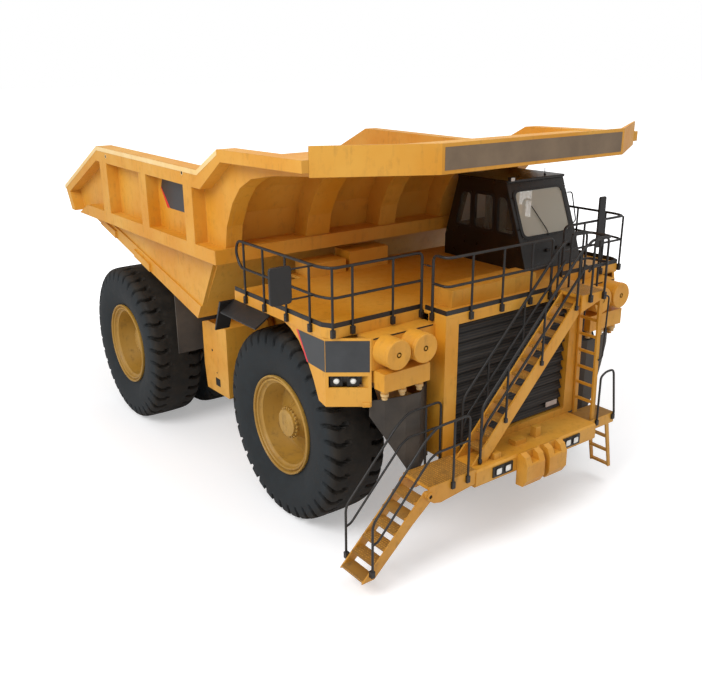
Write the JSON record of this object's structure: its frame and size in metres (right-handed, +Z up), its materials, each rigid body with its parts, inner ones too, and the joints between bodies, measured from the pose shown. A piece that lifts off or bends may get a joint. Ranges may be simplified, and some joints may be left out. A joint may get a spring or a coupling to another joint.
{
  "type": "rigid mining dump truck",
  "caption": "Rigid mining dump truck with dual rear wheels, tipping rock body with canopy, deck-mounted cab, radiator front, diagonal stair and side steps.",
  "frame": {"origin": "on the ground, midway between the front and rear axles, on the truck's middle plane", "axes": "+X to the truck's left, +Y to its rear, +Z up"},
  "size_m": [8.103, 12.062, 6.671],
  "materials": {
    "machine_yellow": "worn satin enamel",
    "dark_paint": "satin",
    "rubber_sheet": "matte, dusty",
    "cab_dark": "satin",
    "window_glass": "dark tint",
    "seat_plastic": "matte",
    "cast_metal": "painted and dusty",
    "tyre_rubber": "matte",
    "bare_steel": "ground",
    "grille_dark": "matte"
  },
  "bodies": {
    "chassis": {"access_steps": "machine_yellow", "air_cleaners": "machine_yellow", "bumper_lamps": "dark_paint", "cab_glass": "window_glass", "cab_interior": "seat_plastic", "cab_shell": "cab_dark", "chassis_frame": "machine_yellow", "deck_boxes": "machine_yellow", "deck_supports": "machine_yellow", "decks": "machine_yellow", "engine": "cast_metal", "fenders": "machine_yellow", "front_bumper": "machine_yellow", "handrails_centre": "dark_paint", "handrails_left": "dark_paint", "handrails_right": "dark_paint", "kick_plates": "dark_paint", "left_ladder": "machine_yellow", "main_stair": "machine_yellow", "mirrors": "dark_paint", "radiator_grille": "grille_dark", "radiator_housing": "machine_yellow", "rear_axle": "cast_metal", "splash_guards": "rubber_sheet", "step_rails": "dark_paint", "suspension_struts": "cast_metal", "tanks": "machine_yellow", "tow_hooks": "machine_yellow", "visors": "dark_paint"},
    "front_wheel_left": {"front_tyre_left": "tyre_rubber", "front_rim_left": "machine_yellow"},
    "front_wheel_right": {"front_tyre_right": "tyre_rubber", "front_rim_right": "machine_yellow"},
    "rear_wheels_left": {"rear_tyres_left": "tyre_rubber", "rear_rims_left": "machine_yellow"},
    "rear_wheels_right": {"rear_tyres_right": "tyre_rubber", "rear_rims_right": "machine_yellow"},
    "knuckle_left": {"knuckle_left": "cast_metal"},
    "knuckle_right": {"knuckle_right": "cast_metal"},
    "tie_rod": {"tie_rod": "cast_metal"},
    "dump_body": {"body_floor": "machine_yellow", "body_headboard": "machine_yellow", "body_side_left": "machine_yellow", "body_side_right": "machine_yellow", "body_canopy": "machine_yellow", "body_flaps": "rubber_sheet"},
    "hoist_barrel_left": {"hoist_barrel_left": "machine_yellow"},
    "hoist_barrel_right": {"hoist_barrel_right": "machine_yellow"},
    "hoist_rod_left": {"hoist_rod_left": "bare_steel"},
    "hoist_rod_right": {"hoist_rod_right": "bare_steel"},
    "cab_door": {"cab_door": "cab_dark"}
  },
  "joints": [
    {"name": "steer_left", "type": "hinge", "parent": "chassis", "child": "knuckle_left", "pos_m": [2, -2.9525, 1.735], "axis": [0, 0, 1], "range_deg": [-36, 36]},
    {"name": "front_spin_left", "type": "hinge", "parent": "knuckle_left", "child": "front_wheel_left", "pos_m": [2.805, -2.9525, 1.735], "axis": [1, 0, 0], "continuous": true},
    {"name": "rear_spin_left", "type": "hinge", "parent": "chassis", "child": "rear_wheels_left", "pos_m": [2.48, 2.9525, 1.735], "axis": [1, 0, 0], "continuous": true},
    {"name": "steer_right", "type": "hinge", "parent": "chassis", "child": "knuckle_right", "pos_m": [-2, -2.9525, 1.735], "axis": [0, 0, 1], "range_deg": [-36, 36]},
    {"name": "front_spin_right", "type": "hinge", "parent": "knuckle_right", "child": "front_wheel_right", "pos_m": [-2.805, -2.9525, 1.735], "axis": [1, 0, 0], "continuous": true},
    {"name": "rear_spin_right", "type": "hinge", "parent": "chassis", "child": "rear_wheels_right", "pos_m": [-2.48, 2.9525, 1.735], "axis": [1, 0, 0], "continuous": true},
    {"name": "tie_rod_swing", "type": "hinge", "parent": "knuckle_left", "child": "tie_rod", "pos_m": [2, -2.3125, 1.26], "axis": [0, 0, 1], "range_deg": [-36, 36]},
    {"name": "body_tip", "type": "hinge", "parent": "chassis", "child": "dump_body", "pos_m": [0, 4.2975, 3.05], "axis": [-1, 0, 0], "range_deg": [0, 47]},
    {"name": "hoist_swing_left", "type": "hinge", "parent": "chassis", "child": "hoist_barrel_left", "pos_m": [1.075, 0.5975, 1.05], "axis": [-1, 0, 0], "range_deg": [-1, 5]},
    {"name": "hoist_slide_left", "type": "slide", "parent": "hoist_barrel_left", "child": "hoist_rod_left", "axis": [0, 0.4079, 0.913], "range_m": [0, 2.1252]},
    {"name": "hoist_swing_right", "type": "hinge", "parent": "chassis", "child": "hoist_barrel_right", "pos_m": [-1.075, 0.5975, 1.05], "axis": [-1, 0, 0], "range_deg": [-1, 5]},
    {"name": "hoist_slide_right", "type": "slide", "parent": "hoist_barrel_right", "child": "hoist_rod_right", "axis": [0, 0.4079, 0.913], "range_m": [0, 2.1252]},
    {"name": "cab_door_hinge", "type": "hinge", "parent": "chassis", "child": "cab_door", "pos_m": [3.034, -3.0705, 4.8], "axis": [0, 0, 1], "range_deg": [0, 45]}
  ],
  "couplings": [
    {"joint": "steer_right", "follows": "steer_left", "ratio": 1},
    {"joint": "tie_rod_swing", "follows": "steer_left", "ratio": -1},
    {"joint": "hoist_swing_left", "follows": "body_tip", "ratio": 0.066964},
    {"joint": "hoist_slide_left", "follows": "body_tip", "m_per_rad": 2.5882},
    {"joint": "hoist_swing_right", "follows": "body_tip", "ratio": 0.066964},
    {"joint": "hoist_slide_right", "follows": "body_tip", "m_per_rad": 2.5882}
  ]
}
